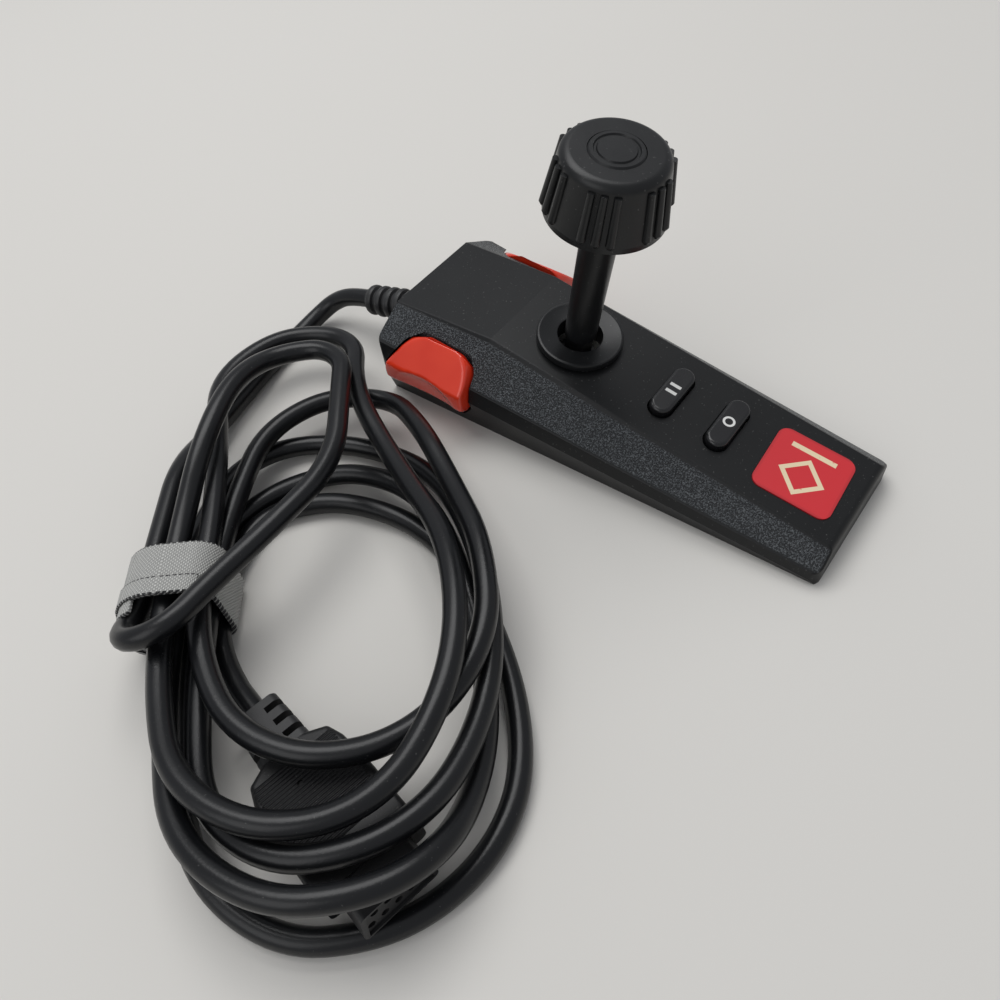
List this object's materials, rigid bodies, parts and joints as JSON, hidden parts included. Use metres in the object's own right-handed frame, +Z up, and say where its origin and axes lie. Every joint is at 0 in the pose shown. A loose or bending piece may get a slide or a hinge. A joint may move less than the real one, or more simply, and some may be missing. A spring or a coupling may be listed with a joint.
{
  "type": "joystick controller",
  "caption": "Hand-held stick controller: wedge housing with a ribbed thumb stick, oval keys, side triggers and a bundled cord that ends in a flat plug",
  "frame": {"origin": "centre of the housing's base, on the surface that it stands on", "axes": "+Z up, +Y along the housing towards its high end and the cord, +X across to the right"},
  "size_m": [0.1611, 0.1517, 0.0728],
  "materials": {
    "black_plastic": "satin black moulding, grained on the bevels",
    "key_plastic": "gloss black with white marks",
    "trigger_plastic": "gloss red-orange",
    "label_red": "red printed label",
    "soft_rubber": "satin black",
    "inner_plastic": "natural grey moulding",
    "screw_steel": "zinc plated",
    "board_laminate": "green lacquered laminate",
    "dome_rubber": "translucent grey rubber",
    "cord_sheath": "satin black sheath",
    "tie_fabric": "woven grey strap",
    "plug_plastic": "satin black moulding",
    "contact_metal": "plated contacts"
  },
  "bodies": {
    "housing": {"upper_shell": "black_plastic", "lower_shell": "black_plastic", "stick_collar": "black_plastic", "badge": "label_red", "strain_relief": "soft_rubber", "circuit_board": "board_laminate", "stick_domes": "dome_rubber", "key_domes": "dome_rubber", "left_leaf": "inner_plastic", "right_leaf": "inner_plastic", "trigger_pins": "screw_steel", "board_screws": "screw_steel", "case_screws": "screw_steel", "wire_block": "inner_plastic", "cord_lead": "cord_sheath", "cord_coil": "cord_sheath", "cord_tie": "tie_fabric", "plug_relief": "soft_rubber", "plug_body": "plug_plastic", "plug_nose": "plug_plastic", "plug_contacts": "contact_metal"},
    "gimbal": {"pivot_ring": "inner_plastic"},
    "stick": {"stick_shaft": "black_plastic", "contact_disc": "inner_plastic", "knob": "black_plastic", "knob_cap": "black_plastic", "knob_screw": "screw_steel"},
    "rear_button": {"rear_key": "key_plastic"},
    "front_button": {"front_key": "key_plastic"},
    "left_pull": {"left_trigger": "trigger_plastic"},
    "right_pull": {"right_trigger": "trigger_plastic"}
  },
  "joints": [
    {"name": "stick_pitch", "type": "hinge", "parent": "housing", "child": "gimbal", "pos_m": [0, 0.01409, 0.01572], "axis": [1, 0, 0], "range_deg": [-7, 7], "stiffness_Nm_per_rad": 0.2},
    {"name": "stick_roll", "type": "hinge", "parent": "gimbal", "child": "stick", "pos_m": [0, 0.01409, 0.01572], "axis": [0, 0.9837, 0.1801], "range_deg": [-7, 7], "stiffness_Nm_per_rad": 0.2},
    {"name": "rear_key_press", "type": "slide", "parent": "housing", "child": "rear_button", "axis": [0, 0.1801, -0.9837], "range_m": [0, 0.001], "stiffness_N_per_m": 400, "springref_m": -0.0005},
    {"name": "front_key_press", "type": "slide", "parent": "housing", "child": "front_button", "axis": [0, 0.1801, -0.9837], "range_m": [0, 0.001], "stiffness_N_per_m": 400, "springref_m": -0.0005},
    {"name": "left_trigger_press", "type": "hinge", "parent": "housing", "child": "left_pull", "pos_m": [-0.0155, 0.051, 0.0105], "axis": [0, 0, 1], "range_deg": [0, 2.5], "stiffness_Nm_per_rad": 0.2, "springref_deg": -1.72},
    {"name": "right_trigger_press", "type": "hinge", "parent": "housing", "child": "right_pull", "pos_m": [0.0155, 0.051, 0.0105], "axis": [0, 0, -1], "range_deg": [0, 2.5], "stiffness_Nm_per_rad": 0.2, "springref_deg": -1.72}
  ]
}
